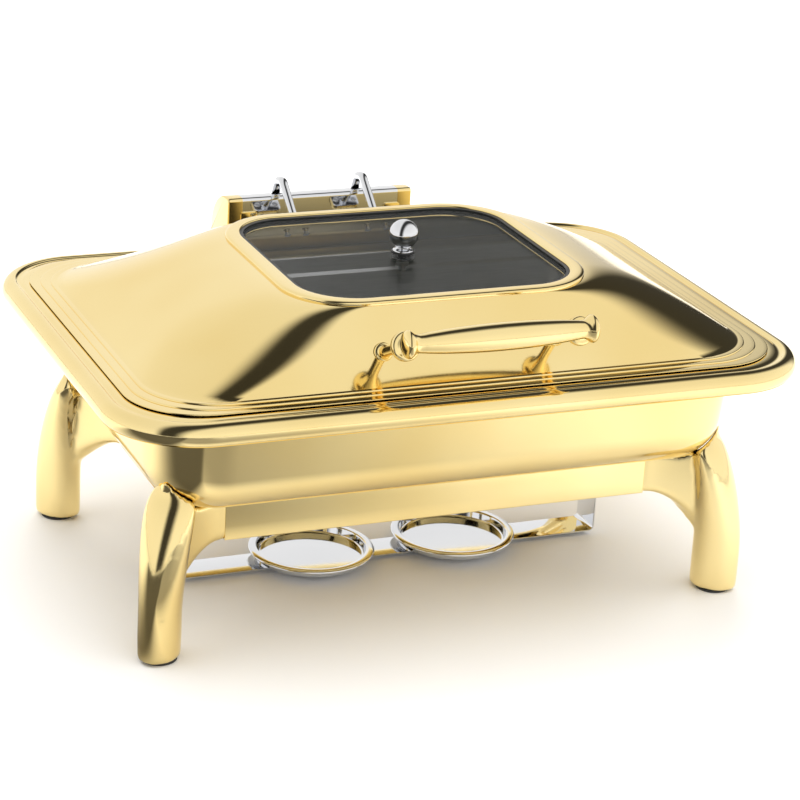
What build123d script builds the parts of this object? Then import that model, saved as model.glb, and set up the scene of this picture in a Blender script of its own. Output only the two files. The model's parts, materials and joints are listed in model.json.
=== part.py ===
"""Rectangular chafing dish with a hinged glass-window lid on a four-legged stand.

Frame: +X is the long side, -Y is the front (handle side), +Z is up, z = 0 is the table.
"""
from build123d import *
from math import cos, pi, radians, sin
import os

# ---- driving dimensions (mm) ----
SHEET = 1.2                                  # gold sheet thickness

# outlines: half length, half width, corner radius
RIM = (294.5, 207.5, 64)                     # the raised bead round the land
RIM_Z = 225                                  # top of the flat land
ROLL_OUT, ROLL_R = 12.5, 10                  # how far the rim rolls out, and its radius
PAN = (256.5, 168.6, 56.6)                   # the pan at its floor
PAN_FLOOR_Z = 122
PAN_TAPER = 5.5                              # wall slope, degrees
PAN_FILLET = 40
FOOD_FLANGE = (275, 188, 58)
FOOD_PAN = (247, 159, 48)                    # the food pan at its floor
FOOD_DEPTH, FOOD_SHEET, FOOD_FILLET = 65, 0.8, 18

# lid: three flange steps, then the dome, then the window
STEPS = [(285, 197.5, 62, 227), (277, 189.5, 61.5, 228), (269.3, 182.8, 61, 229)]
DOME_BASE = (264.9, 179.3, 61)
DOME_TOP = (135.5, 122.5, 62)
DOME_TOP_Z = 283
DOME_EXP_X, DOME_EXP_Y, DOME_CORNER = 0.65, 1.0, 30
WINDOW_Y = -13                               # the window sits a little forward
OPENING = (119, 108.5, 45)
SEAT = (130, 118.5, 56)
GLASS = (127, 115.5, 53)
GLASS_Z, GLASS_T = 280, 4
BALL_R, BALL_Z = 12.8, 300
STEM_R = 3
BUMPERS = [(-200, -185), (200, -185), (-200, 185), (200, 185), (-272, 0), (272, 0)]

# handle
BAR_HALF, BAR_Y, BAR_Z = 84.5, -218.5, 279
BAR_MID_R, BAR_NECK_R, BAR_END_R = 11.5, 7.5, 11.5
POST_X = 76
POST_FOOT_Y, POST_FOOT_Z = -160.8, 251.9     # where the post meets the dome

# hinge
AXIS_Y, AXIS_Z = 205, 258
SHAFT_R = 5
HOUSING_HALF, CAP_T = 90, 14
HOUSING_FRONT, HOUSING_R, HOUSING_CENTRE = 183, 40, (190, 238)
HOUSING_BASE_Z = 234
ARM_X, ARM_R = 39, 4
SLOT_W = 12
BUSH_R = 7
FIT = 0.05                                   # radial running clearance

# stand
LEG_X, LEG_Y = 255, 152                      # centre of each foot
PAD_T, PAD_R = 2, 15
RAIL_T, RAIL_WALL = 12, 1.5
RAIL_Z0, RAIL_Z1 = 85, PAN_FLOOR_Z
LONG_RAIL_END, LONG_RAIL_Y = 192, 125        # end of the long rails, and their outer face
SHORT_RAIL_END, SHORT_RAIL_X = 92, 215       # end of the short rails, and their outer face
PAN_GAP = 0.6                                # between the pan and the legs
STRIP_Z, STRIP_T, STRIP_W = 3.5, 1.5, 34
FUEL_X, FUEL_Y, FUEL_R, FUEL_LIP_R, FUEL_H = 68, -4, 47.5, 56, 8.5


# ---- helpers ----
def outline(size, grow=0.0, y=0.0):
    """Rounded rectangle from (half length, half width, corner radius)."""
    half_x, half_y, r = size[:3]
    return Pos(0, y) * RectangleRounded(2 * (half_x + grow), 2 * (half_y + grow), r + grow)


def slab(size, z0, z1, grow=0.0, y=0.0):
    return Pos(0, 0, z0) * extrude(outline(size, grow, y), amount=z1 - z0)


def rod(r, p, q):
    """Round bar of radius r from point p to point q."""
    axis = Vector(*q) - Vector(*p)
    return Plane(origin=p, z_dir=axis) * extrude(Circle(r), amount=axis.length)


def turned(profile, plane=Plane.XY):
    """Solid of revolution from (radius, distance along) points, about the plane's Z axis."""
    pts = [(0, profile[0][1])] + list(profile) + [(0, profile[-1][1])]
    return plane * revolve(Plane.XZ * make_face(Polyline(*pts, close=True)), Axis.Z)


def along_x(shape_yz, x0, x1):
    """Extrudes a sketch drawn in (Y, Z) from x0 to x1."""
    return extrude(Pos(x0, 0, 0) * (Plane.YZ * shape_yz), amount=x1 - x0, dir=(1, 0, 0))


def group(shapes):
    return Compound(children=list(shapes))


def save(node, shape):
    export_step(shape, f"parts/{node}.step")


# ---- water pan and food pan ----
def tapered_pan(size, floor, top, taper, round_r, grow=0.0):
    base = floor - grow
    body = Pos(0, 0, base) * extrude(outline(size, grow), amount=top - base, taper=-taper)
    return fillet(body.faces().sort_by(Axis.Z)[0].edges(), round_r + grow)


def pan_solid(grow=0.0, top=RIM_Z):
    """The outside of the water pan, grown or shrunk."""
    return tapered_pan(PAN, PAN_FLOOR_Z, top, PAN_TAPER, PAN_FILLET, grow)


def rim_ring(section):
    """Carries a section of (distance outside the rim outline, z) round the rounded rectangle."""
    half_x, half_y, r = RIM
    face = make_face(Polyline(*section, close=True))
    side = extrude(Pos(half_x, -(half_y - r), 0) * (Plane.XZ * face), 2 * (half_y - r), (0, 1, 0))
    front = extrude(Pos(-(half_x - r), half_y, 0) * (Plane.YZ * face), 2 * (half_x - r), (1, 0, 0))
    turn = Pos(r, 0, 0) * (Plane.XZ * face)
    corner = Pos(half_x - r, half_y - r, 0) * revolve(turn, Axis.Z, revolution_arc=90)
    ring = side + front + corner + mirror(corner, Plane.YZ)
    return ring + mirror(ring, Plane.XZ) + mirror(side, Plane.YZ)


def water_pan():
    """Pan body, flat land, raised bead and rolled-down edge, in one sheet."""
    cavity = pan_solid(-SHEET, RIM_Z + 5)
    outer, inner = [], []
    for k in range(9):
        a = pi / 2 - k * radians(18)
        outer.append((ROLL_OUT - ROLL_R + ROLL_R * cos(a), RIM_Z + 1 - ROLL_R + ROLL_R * sin(a)))
        inner.append((ROLL_OUT - ROLL_R + (ROLL_R - SHEET) * cos(a),
                      RIM_Z + 1 - ROLL_R + (ROLL_R - SHEET) * sin(a)))
    section = [(-5, RIM_Z - SHEET), (-5, RIM_Z), (-2, RIM_Z), (0, RIM_Z + 1)]
    edge = rim_ring(section + outer[1:] + inner[::-1] + [(-1.5, RIM_Z - SHEET)])
    land = slab(RIM, RIM_Z - SHEET, RIM_Z, grow=-4.5)
    return (pan_solid() + land + edge) - cavity - hinge_screws()


def food_pan():
    """Steel insert with a flat flange that lies on the water pan's land."""
    floor = RIM_Z - FOOD_DEPTH
    body = tapered_pan(FOOD_PAN, floor, RIM_Z + FOOD_SHEET, 4, FOOD_FILLET)
    hollow = tapered_pan(FOOD_PAN, floor, RIM_Z + 5, 4, FOOD_FILLET, -FOOD_SHEET)
    return (body + slab(FOOD_FLANGE, RIM_Z, RIM_Z + FOOD_SHEET)) - hollow


# ---- lid ----
def dome(grow=0.0):
    """Pillow-shaped solid from the lid's base up to the window ring."""
    base_z = STEPS[-1][3] + grow
    rise = DOME_TOP_Z + grow - base_z
    sections = []
    for h in (0, 0.2, 0.42, 0.64, 0.82, 0.94, 1):
        half_x = DOME_TOP[0] + (DOME_BASE[0] - DOME_TOP[0]) * (1 - h) ** DOME_EXP_X + grow
        half_y = DOME_TOP[1] + (DOME_BASE[1] - DOME_TOP[1]) * (1 - h) ** DOME_EXP_Y + grow
        r = DOME_TOP[2] + (DOME_BASE[2] - DOME_TOP[2]) * (1 - h) + DOME_CORNER * 4 * h * (1 - h)
        sections.append(Pos(0, WINDOW_Y * h, base_z + rise * h) *
                        RectangleRounded(2 * half_x, 2 * half_y, r))
    return loft(sections)


def lid_shell():
    """Stepped flange, dome and the seat that holds the window, in one sheet."""
    outer, inner = dome(), dome(-SHEET)
    for half_x, half_y, r, top in STEPS:
        outer += slab((half_x, half_y, r), STEPS[0][3] - SHEET, top)
        inner += slab((half_x, half_y, r), 200, top - SHEET, grow=-SHEET)
    shell = outer - inner
    recess_z = GLASS_Z - 2.2
    shell -= slab(SEAT, recess_z - 5, DOME_TOP_Z + 5, y=WINDOW_Y)
    seat = slab(SEAT, recess_z, DOME_TOP_Z, SHEET, WINDOW_Y)
    seat -= slab(SEAT, recess_z + SHEET, DOME_TOP_Z, y=WINDOW_Y)
    shell += seat - slab(OPENING, recess_z, DOME_TOP_Z, y=WINDOW_Y)
    return shell - handle_screws() - arm_rivets()


def gasket():
    """Silicone channel round the edge of the glass."""
    ring = slab(SEAT, GLASS_Z - 1, GLASS_Z + GLASS_T + 1, -0.2, WINDOW_Y)
    ring -= slab(OPENING, 200, 300, 0.5, WINDOW_Y)
    return ring - slab(GLASS, GLASS_Z, GLASS_Z + GLASS_T, y=WINDOW_Y)


def glass_panel():
    glass = slab(GLASS, GLASS_Z, GLASS_Z + GLASS_T, y=WINDOW_Y)
    return glass - Pos(0, WINDOW_Y, 0) * rod(STEM_R + 1, (0, 0, 200), (0, 0, 300))


def window_frame():
    """Trim ring over the gasket, with a skirt that stands on the dome."""
    top = GLASS_Z + GLASS_T + 1
    ring = slab(DOME_TOP, DOME_TOP_Z, top + 1.4, 0.5, WINDOW_Y)
    ring = fillet(ring.faces().sort_by(Axis.Z)[-1].edges(), 1.2)
    ring -= slab(OPENING, 200, 300, 3.5, WINDOW_Y)
    return ring - slab(SEAT, DOME_TOP_Z, top, SHEET + 0.2, WINDOW_Y)


def vent_ball():
    """Polished ball on a short neck that stands on the glass."""
    top = GLASS_Z + GLASS_T
    neck = turned([(9, 1.2), (9, 2.4), (5, 3.2), (4.2, 8)], Plane((0, WINDOW_Y, top)))
    ball = Pos(0, WINDOW_Y, BALL_Z) * Sphere(BALL_R) + neck
    return ball - rod(STEM_R, (0, WINDOW_Y, 200), (0, WINDOW_Y, BALL_Z))


def vent_stem():
    return rod(STEM_R, (0, WINDOW_Y, GLASS_Z - 12), (0, WINDOW_Y, BALL_Z))


def vent_washers():
    """Soft washers above and below the glass, with a sleeve through it."""
    top = GLASS_Z + GLASS_T
    hole = rod(STEM_R, (0, WINDOW_Y, 200), (0, WINDOW_Y, 300))
    upper = rod(10, (0, WINDOW_Y, top), (0, WINDOW_Y, top + 1.2))
    sleeve = rod(STEM_R + 1, (0, WINDOW_Y, GLASS_Z), (0, WINDOW_Y, top))
    lower = rod(10, (0, WINDOW_Y, GLASS_Z - 1.5), (0, WINDOW_Y, GLASS_Z))
    return (upper + sleeve + lower) - hole


def vent_nut():
    z = GLASS_Z - 1.5
    nut = Pos(0, WINDOW_Y, z - 6) * extrude(RegularPolygon(6.2, 6), amount=6)
    return nut - rod(STEM_R, (0, WINDOW_Y, 200), (0, WINDOW_Y, 300))


def lid_bumpers():
    """Silicone buttons under the flange that land on the food pan's flange."""
    z0, z1 = RIM_Z + FOOD_SHEET, STEPS[1][3] - SHEET
    return group(rod(3, (x, y, z0), (x, y, z1)) for x, y in BUMPERS)


# ---- handle ----
def bar_blank():
    """Barrel-shaped grip with waisted necks and rounded ends."""
    n = BAR_HALF
    edge = Spline((-n + 11, BAR_NECK_R), (-n / 2, BAR_MID_R - 1.2), (0, BAR_MID_R),
                  (n / 2, BAR_MID_R - 1.2), (n - 11, BAR_NECK_R))
    base = Polyline((n - 11, BAR_NECK_R), (n - 11, 0), (-n + 11, 0), (-n + 11, BAR_NECK_R))
    barrel = revolve(make_face([edge, base]), Axis.X)
    knob = turned([(BAR_NECK_R, 0), (BAR_NECK_R, 3), (BAR_END_R - 1, 9), (BAR_END_R, 11),
                   (BAR_END_R - 0.6, 14), (BAR_END_R - 4, 16)], Plane((n - 16, 0, 0), z_dir=(1, 0, 0)))
    return Pos(0, BAR_Y, BAR_Z) * (barrel + knob + mirror(knob, Plane.YZ))


def post_frame(side):
    """Plane at the foot of a handle post, with Z pointing up the post."""
    rise = (0, BAR_Y - POST_FOOT_Y, BAR_Z - POST_FOOT_Z)
    return Plane((side * POST_X, POST_FOOT_Y, POST_FOOT_Z), x_dir=(1, 0, 0), z_dir=rise)


def post_length():
    return Vector(0, BAR_Y - POST_FOOT_Y, BAR_Z - POST_FOOT_Z).length


def post_pin(side):
    """Spigot on the end of the post that the bar is bored for."""
    n = post_length()
    return post_frame(side) * rod(4, (0, 0, n - 14), (0, 0, n - 2))


def handle_bar():
    return bar_blank() - post_pin(-1) - post_pin(1)


def handle_post(side):
    """Slim stem, cone and collar."""
    n = post_length() - BAR_END_R - 0.4
    body = turned([(8, -4), (8, 1.5), (4.6, 4), (4.2, n - 24), (7.5, n - 9), (8.5, n - 7),
                   (12, n - 6), (12, n - 1), (9, n)], post_frame(side))
    screw = post_frame(side) * rod(2.5, (0, 0, -12), (0, 0, 14))
    return (body - dome() - screw) + post_pin(side)


def handle_screws():
    """Machine screws from inside the lid, with broad washers."""
    out = []
    for side in (-1, 1):
        plane = post_frame(side)
        shank = rod(2.5, (0, 0, -8), (0, 0, 14))
        head = rod(5, (0, 0, -11), (0, 0, -8))
        washer = rod(8, (0, 0, -8), (0, 0, -6.5))
        out.append(plane * (shank + head + washer))
    return group(out)


# ---- hinge ----
def housing_profile():
    """D-shaped section in (Y, Z): upright front, round back, cut away below the front."""
    cy, cz = HOUSING_CENTRE
    top = (cy, cz + HOUSING_R)
    low, high = (HOUSING_FRONT, 245), (HOUSING_FRONT, top[1] - 10)
    front = Line(low, high)
    nose = TangentArc(high, top, tangent=(0, 1))
    back = ThreePointArc(top, (cy + HOUSING_R * cos(pi / 4), cz + HOUSING_R * sin(pi / 4)),
                         (cy + HOUSING_R, cz))
    base = Polyline((cy + HOUSING_R, cz), (cy + HOUSING_R, HOUSING_BASE_Z), (199.5, HOUSING_BASE_Z), low)
    return make_face([front, nose, back, base])


def hinge_cover():
    """Chrome cover between the end caps, slotted for the arms."""
    inner = HOUSING_HALF - CAP_T
    profile = housing_profile()
    tube = along_x(profile, -inner, inner) - along_x(offset(profile, -SHEET), -inner, inner)
    for x in (-ARM_X, ARM_X):
        tube -= Pos(x, 207.5, 274) * Box(SLOT_W, 37, 32)
    return tube


def hinge_end_cap(side):
    """Gold end block with a blind bore for the bush and a lug over the front of the cover."""
    inner = HOUSING_HALF - CAP_T
    cap = along_x(housing_profile(), inner, HOUSING_HALF)
    cap = fillet(cap.faces().sort_by(Axis.X)[-1].edges(), 1.5)
    cap -= rod(BUSH_R, (inner, AXIS_Y, AXIS_Z), (HOUSING_HALF - 2.5, AXIS_Y, AXIS_Z))
    cap += Pos(inner - 6, HOUSING_FRONT - 0.8, 258) * Box(16, 1.6, 15)
    cap -= along_x(housing_profile(), 0, inner)
    return cap if side > 0 else mirror(cap, Plane.YZ)


def hinge_bush(side):
    x0, x1 = sorted((side * (HOUSING_HALF - CAP_T), side * (HOUSING_HALF - 2.5)))
    ring = rod(BUSH_R, (x0, AXIS_Y, AXIS_Z), (x1, AXIS_Y, AXIS_Z))
    return ring - rod(SHAFT_R + FIT, (x0, AXIS_Y, AXIS_Z), (x1, AXIS_Y, AXIS_Z))


def hinge_shaft():
    end = HOUSING_HALF - 3
    return rod(SHAFT_R, (-end, AXIS_Y, AXIS_Z), (end, AXIS_Y, AXIS_Z))


def torsion_spring():
    """Counterbalance coil round the shaft, between the arms."""
    coil = Helix(pitch=4, height=44, radius=8)
    wire = sweep(Plane(origin=coil @ 0, z_dir=coil % 0) * Circle(0.9), path=coil)
    return Pos(-22, AXIS_Y, AXIS_Z) * (Rot(0, 90, 0) * wire)


def damper():
    """Rotary damper: a sealed drum round the shaft, held by the left end cap."""
    x0, x1 = -(HOUSING_HALF - CAP_T), -52
    drum = rod(13, (x0, AXIS_Y, AXIS_Z), (x1, AXIS_Y, AXIS_Z))
    return drum - rod(SHAFT_R + 0.4, (x0, AXIS_Y, AXIS_Z), (x1, AXIS_Y, AXIS_Z))


def hinge_bracket():
    """Foot on the rim's land and the plate that carries the housing."""
    plate = Pos(0, 214.5, HOUSING_BASE_Z - 1.5) * Box(2 * HOUSING_HALF, 30, 3)
    foot = Pos(0, 202.2, (RIM_Z + HOUSING_BASE_Z) / 2 - 0.5) * Box(150, 5.4, HOUSING_BASE_Z - RIM_Z - 1)
    return (plate + foot) - hinge_screws()


def hinge_screws():
    """Four screws down through the bracket and the rim, with nuts below."""
    out = []
    for x in (-66, -22, 22, 66):
        out.append(rod(1.5, (x, 202.2, RIM_Z - 6), (x, 202.2, HOUSING_BASE_Z)) +
                   rod(2.6, (x, 202.2, RIM_Z - SHEET - 2.4), (x, 202.2, RIM_Z - SHEET)))
    return group(out)


def arm(side):
    """Gooseneck arm: hub on the shaft, rod over the cover, pad on the dome."""
    x = side * ARM_X
    line = FilletPolyline((AXIS_Y, AXIS_Z), (194, 290), (180, 293), (139, 259.5), radius=8)
    path = Pos(x, 0, 0) * (Plane.YZ * line)
    rod_solid = sweep(Plane(origin=path @ 0, z_dir=path % 0) * Circle(ARM_R), path=path)
    hub = rod(9, (x - 5, AXIS_Y, AXIS_Z), (x + 5, AXIS_Y, AXIS_Z))
    pad = rivet_plane(x) * extrude(RectangleRounded(26, 17, 4), amount=3.2)
    body = (rod_solid + hub + pad) - rod(SHAFT_R, (-90, AXIS_Y, AXIS_Z), (90, AXIS_Y, AXIS_Z))
    return body - dome() - arm_rivets()


def rivet_plane(x):
    """Plane on the rear slope of the dome under an arm's pad."""
    return Plane((x, 141.5, 258.3), x_dir=(1, 0, 0), z_dir=(0, 0.61, 0.79))


def arm_rivets():
    out = []
    for side in (-1, 1):
        for dx in (-9, 9):
            plane = rivet_plane(side * ARM_X) * Pos(dx, 0, 0)
            out.append(plane * (rod(1.6, (0, 0, -4), (0, 0, 3.2)) + rod(3, (0, 0, 3.2), (0, 0, 4.4)) +
                                rod(3, (0, 0, -5), (0, 0, -4))))
    return group(out)


# ---- stand ----
def leg():
    """Front-right leg: leaning column, horn at the pan's corner and two arms with tongues."""
    out = Vector(1, -1, 0).normalized()
    foot = Vector(LEG_X, -LEG_Y, PAD_T)
    sections = []
    for z, shift, a, b in ((PAD_T, 0, 20.8, 16.8), (18, 0, 21, 17), (36, 0, 21, 17), (54, -0.6, 20.6, 17.6),
                           (72, -2.2, 19.6, 19), (90, -4.6, 18, 20.4), (106, -7.6, 16.2, 21.6),
                           (120, -11.6, 14.8, 22), (132, -15.6, 12.6, 20.5), (141, -17.4, 9.4, 16.5),
                           (148, -15, 6.8, 10), (152, -12.6, 3.6, 5)):
        plane = Plane(foot + out * shift + Vector(0, 0, z - PAD_T), x_dir=out)
        sections.append(plane * Ellipse(a, b))
    body = loft(sections)
    mid_z = (RAIL_Z0 + RAIL_Z1) / 2
    long_y = -(LONG_RAIL_Y - RAIL_T / 2)
    short_x = SHORT_RAIL_X - RAIL_T / 2
    ends = [(Vector(LONG_RAIL_END, long_y, mid_z), Vector(1, 0, 0)),
            (Vector(short_x, -SHORT_RAIL_END, mid_z), Vector(0, -1, 0))]
    for start, along in ends:
        inside = foot + out * -9
        target = Vector(inside.X, inside.Y, mid_z - 6)
        across = target - start
        curve = []
        for t, wide, low, high in ((0, RAIL_T, 0, 0), (0.3, RAIL_T + 2, 2, 4),
                                   (0.62, 18, 14, 8), (1, 24, 36, 8)):
            sweep_t = t ** 1.3
            place = (start + along * (across.dot(along) * t) +
                     (across - along * across.dot(along)) * sweep_t)
            tall = RAIL_Z1 - RAIL_Z0 + low + high
            plane = Plane(Vector(place.X, place.Y, mid_z + (high - low) / 2), x_dir=(0, 0, 1), z_dir=along)
            curve.append(plane * RectangleRounded(tall, wide, min(wide, tall) * 0.3))
        body += loft(curve)
        tongue = Plane(start - along * 22, x_dir=(0, 0, 1), z_dir=along)
        inner = RAIL_Z1 - RAIL_Z0 - 2 * RAIL_WALL - 0.2
        body += tongue * extrude(Rectangle(inner, RAIL_T - 2 * RAIL_WALL - 0.2), amount=24)
    return body - pan_solid(PAN_GAP)


def leg_at(x_sign, y_sign):
    shape = leg() - rail_screws() - foot_pads()
    if x_sign < 0:
        shape = mirror(shape, Plane.YZ)
    return mirror(shape, Plane.XZ) if y_sign > 0 else shape


def foot_pads():
    """Rubber pads with a plug up into each leg."""
    out = []
    for x in (-LEG_X, LEG_X):
        for y in (-LEG_Y, LEG_Y):
            out.append(rod(PAD_R, (x, y, 0), (x, y, PAD_T)) + rod(4, (x, y, 0), (x, y, PAD_T + 8)))
    return group(out)


def tube(length):
    """Box-section rail, length along X, standing on z = 0 and centred on Y."""
    tall = RAIL_Z1 - RAIL_Z0
    outer = Pos(0, 0, tall / 2) * Box(length, RAIL_T, tall)
    return outer - Pos(0, 0, tall / 2) * Box(length, RAIL_T - 2 * RAIL_WALL, tall - 2 * RAIL_WALL)


def long_rail(side):
    rail = Pos(0, side * (LONG_RAIL_Y - RAIL_T / 2), RAIL_Z0) * tube(2 * LONG_RAIL_END)
    return rail - rail_screws()


def short_rail(side):
    rail = Pos(side * (SHORT_RAIL_X - RAIL_T / 2), 0, RAIL_Z0) * (Rot(0, 0, 90) * tube(2 * SHORT_RAIL_END))
    return rail - rail_screws() - rack_screws()


def rail_screws():
    """Screws through the inner wall of each rail into the leg's tongue."""
    out = []
    z = (RAIL_Z0 + RAIL_Z1) / 2
    for sx in (-1, 1):
        for sy in (-1, 1):
            y = sy * (LONG_RAIL_Y - RAIL_T)
            out.append(rod(2, (sx * 182, y, z), (sx * 182, y + sy * 8, z)) +
                       rod(3.8, (sx * 182, y - sy * 2, z), (sx * 182, y, z)))
            x = sx * (SHORT_RAIL_X - RAIL_T)
            out.append(rod(2, (x, sy * 82, z), (x + sx * 8, sy * 82, z)) +
                       rod(3.8, (x - sx * 2, sy * 82, z), (x, sy * 82, z)))
    return group(out)


# ---- burner rack ----
def burner_strip():
    """Chrome strip with both ends bent up to the short rails."""
    end = SHORT_RAIL_X - RAIL_T
    top = RAIL_Z1 - 8
    flat = Pos(0, FUEL_Y, STRIP_Z + STRIP_T / 2) * Box(2 * end, STRIP_W, STRIP_T)
    upright = Pos(end - STRIP_T / 2, FUEL_Y, (STRIP_Z + top) / 2) * Box(STRIP_T, STRIP_W, top - STRIP_Z)
    strip = flat + upright + mirror(upright, Plane.YZ)
    return strip - rack_screws() - fuel_rivets()


def rack_screws():
    end = SHORT_RAIL_X - RAIL_T
    out = []
    for side in (-1, 1):
        for y in (FUEL_Y - 9, FUEL_Y + 9):
            out.append(rod(2, (side * (end - STRIP_T), y, 104), (side * (end + 8), y, 104)) +
                       rod(3.8, (side * (end - STRIP_T - 2), y, 104), (side * (end - STRIP_T), y, 104)))
    return group(out)


def fuel_plate(side):
    """Shallow dish with a flat floor and a wide rolled lip."""
    z = STRIP_Z + STRIP_T
    r, lip, h = FUEL_R, FUEL_LIP_R, FUEL_H
    outer = [(r + 0.5, 0), (r + 1.2, h - 1.5), (r + 2.5, h - 0.6), (lip - 1.5, h - 1), (lip, h - 2.4)]
    inner = [(lip - 0.3, h - 1), (lip - 1.6, h), (r + 2, h + 0.4), (r, h - 0.6), (r - 0.6, 1)]
    pts = [(0, 0)] + outer + inner + [(0, 1)]
    dish = revolve(Plane.XZ * make_face(Polyline(*pts, close=True)), Axis.Z)
    return Pos(side * FUEL_X, FUEL_Y, z) * dish - fuel_rivets()


def fuel_rivets():
    """Rivets headed under the strip and flush with the dish's floor."""
    out = []
    for side in (-1, 1):
        for dx in (-14, 14):
            x = side * FUEL_X + dx
            z = STRIP_Z + STRIP_T
            out.append(rod(2, (x, FUEL_Y, STRIP_Z), (x, FUEL_Y, z + 1)) +
                       rod(3.5, (x, FUEL_Y, STRIP_Z - 1), (x, FUEL_Y, STRIP_Z)))
    return group(out)


def parts():
    """Every node of the model, by name."""
    out = {"water_pan": water_pan(), "food_pan": food_pan(), "hinge_bracket": hinge_bracket(),
           "hinge_cover": hinge_cover(), "torsion_spring": torsion_spring(), "damper": damper(),
           "hinge_screws": hinge_screws(), "lid_shell": lid_shell(), "gasket": gasket(),
           "glass_panel": glass_panel(), "window_frame": window_frame(), "vent_ball": vent_ball(),
           "vent_stem": vent_stem(), "vent_washers": vent_washers(), "vent_nut": vent_nut(),
           "lid_bumpers": lid_bumpers(), "handle_bar": handle_bar(), "handle_screws": handle_screws(),
           "hinge_shaft": hinge_shaft(), "arm_rivets": arm_rivets(), "foot_pads": foot_pads(),
           "rail_front": long_rail(-1), "rail_rear": long_rail(1), "rail_screws": rail_screws(),
           "burner_strip": burner_strip(), "rack_screws": rack_screws(), "fuel_rivets": fuel_rivets()}
    for side, word in ((-1, "left"), (1, "right")):
        out[f"handle_post_{word}"] = handle_post(side)
        out[f"arm_{word}"] = arm(side)
        out[f"hinge_end_cap_{word}"] = hinge_end_cap(side)
        out[f"hinge_bush_{word}"] = hinge_bush(side)
        out[f"rail_{word}"] = short_rail(side)
        out[f"fuel_plate_{word}"] = fuel_plate(side)
        out[f"leg_front_{word}"] = leg_at(side, -1)
        out[f"leg_rear_{word}"] = leg_at(side, 1)
    return out


if __name__ == "__main__":
    os.makedirs("parts", exist_ok=True)
    for node, shape in parts().items():
        save(node, shape)
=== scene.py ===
"""Looks for a gold buffet chafing dish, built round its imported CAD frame."""
import json
from math import acos, cos, degrees, pi, radians, sin

import bmesh
import bpy
from mathutils import Matrix, Vector


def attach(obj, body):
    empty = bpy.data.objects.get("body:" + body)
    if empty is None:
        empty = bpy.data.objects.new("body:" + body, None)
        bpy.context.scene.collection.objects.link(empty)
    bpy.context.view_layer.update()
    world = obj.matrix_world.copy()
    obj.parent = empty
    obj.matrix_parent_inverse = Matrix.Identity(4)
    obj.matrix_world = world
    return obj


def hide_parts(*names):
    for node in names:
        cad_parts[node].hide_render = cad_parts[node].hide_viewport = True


bl_info = {
    "name": "Chafing Dish",
    "version": (1, 0, 0),
    "blender": (4, 5, 0),
    "location": "3D View > Sidebar > Chafing Dish",
    "description": "Builds the visible pieces, finishes and studio of a chafing dish",
    "category": "Object",
}

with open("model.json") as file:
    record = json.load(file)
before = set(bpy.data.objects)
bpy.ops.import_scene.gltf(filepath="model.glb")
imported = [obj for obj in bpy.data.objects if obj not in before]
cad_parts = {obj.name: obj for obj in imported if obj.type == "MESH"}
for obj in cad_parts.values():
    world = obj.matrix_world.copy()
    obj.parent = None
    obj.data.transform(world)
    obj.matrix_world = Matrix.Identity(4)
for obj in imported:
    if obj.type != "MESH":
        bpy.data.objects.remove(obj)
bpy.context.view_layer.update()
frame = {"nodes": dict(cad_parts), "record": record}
MM = 0.001

# Sizes and places in millimetres, in the frame's axes
SHEET = 1.2                                    # gold sheet and chrome cover
RIM_X, RIM_Y, RIM_CORNER = 294.5, 207.5, 64    # outline of the rim's crease
LAND_Z, FLOOR_Z = 225, 122                     # flat land of the rim, and the water pan's floor
DOME_Z, DOME_RISE = 229, 54
WINDOW_Y = -13                                 # the window sits forward of the middle
BALL_Z = 300
GRIP_Y, GRIP_Z = -218.5, 279
POST_X, POST_Y, POST_Z = 76, -160.8, 251.9     # foot of a handle post
POST_RISE = Vector((0, -57.7, 27.1))           # from that foot to the grip
SHAFT_Y, SHAFT_Z = 205, 258
HOUSING_Y, HOUSING_Z, HOUSING_R = 190, 238, 40
HOUSING_FRONT = 183
ARM_X = 39
PAD_Y, PAD_Z, PAD_UP = 141.5, 258.3, (0, 0.61, 0.79)    # an arm's pad on the dome
FOOT_X, FOOT_Y = 255, 152
RAIL_Z = 103.5                                 # middle of the rails
FUEL_X, FUEL_Y = 68, -4


# ---------------------------------------------------------------- sizes and colours
class DishSizes(bpy.types.PropertyGroup):
    """Sizes of the pressed-sheet parts."""
    corner_steps: bpy.props.IntProperty(
        name="Corner steps", description="Faces round each corner of the pans and lid", default=18, min=4)
    side_steps: bpy.props.IntProperty(
        name="Side steps", description="Faces along each straight side", default=10, min=1)
    dome_rows: bpy.props.IntProperty(
        name="Dome rows", description="Rows of faces up the dome", default=30, min=6)
    ball_radius: bpy.props.FloatProperty(
        name="Ball radius", description="Radius of the vent ball, mm", default=12.7)
    leg_voxel: bpy.props.FloatProperty(
        name="Leg voxel", description="Grain of the cast legs' skin", default=0.0018, unit='LENGTH')


class DishFinishes(bpy.types.PropertyGroup):
    """Colours and polish."""
    gold: bpy.props.FloatVectorProperty(
        name="Gold", description="Colour of the gold coating", subtype='COLOR', size=3,
        default=(0.90, 0.69, 0.29))
    gold_pale: bpy.props.FloatVectorProperty(
        name="Pale gold", description="Where the coating is thinner", subtype='COLOR', size=3,
        default=(0.96, 0.79, 0.40))
    polish: bpy.props.FloatProperty(
        name="Polish", description="Roughness of the polished faces", default=0.07, min=0, max=1)
    steel: bpy.props.FloatVectorProperty(
        name="Steel", description="Colour of bare stainless steel", subtype='COLOR', size=3,
        default=(0.66, 0.67, 0.69))
    floor: bpy.props.FloatVectorProperty(
        name="Floor", description="Colour of the studio floor", subtype='COLOR', size=3,
        default=(0.93, 0.93, 0.93))
    left_wall: bpy.props.FloatProperty(
        name="Left wall", description="Brightness of the soft wall at the left and rear", default=1.0, min=0)
    right_wall: bpy.props.FloatProperty(
        name="Right wall", description="Brightness of the soft wall at the right and front", default=1.05, min=0)
    gap: bpy.props.FloatProperty(
        name="Gap", description="Brightness of the dark gap between the walls", default=0.05, min=0)


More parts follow.
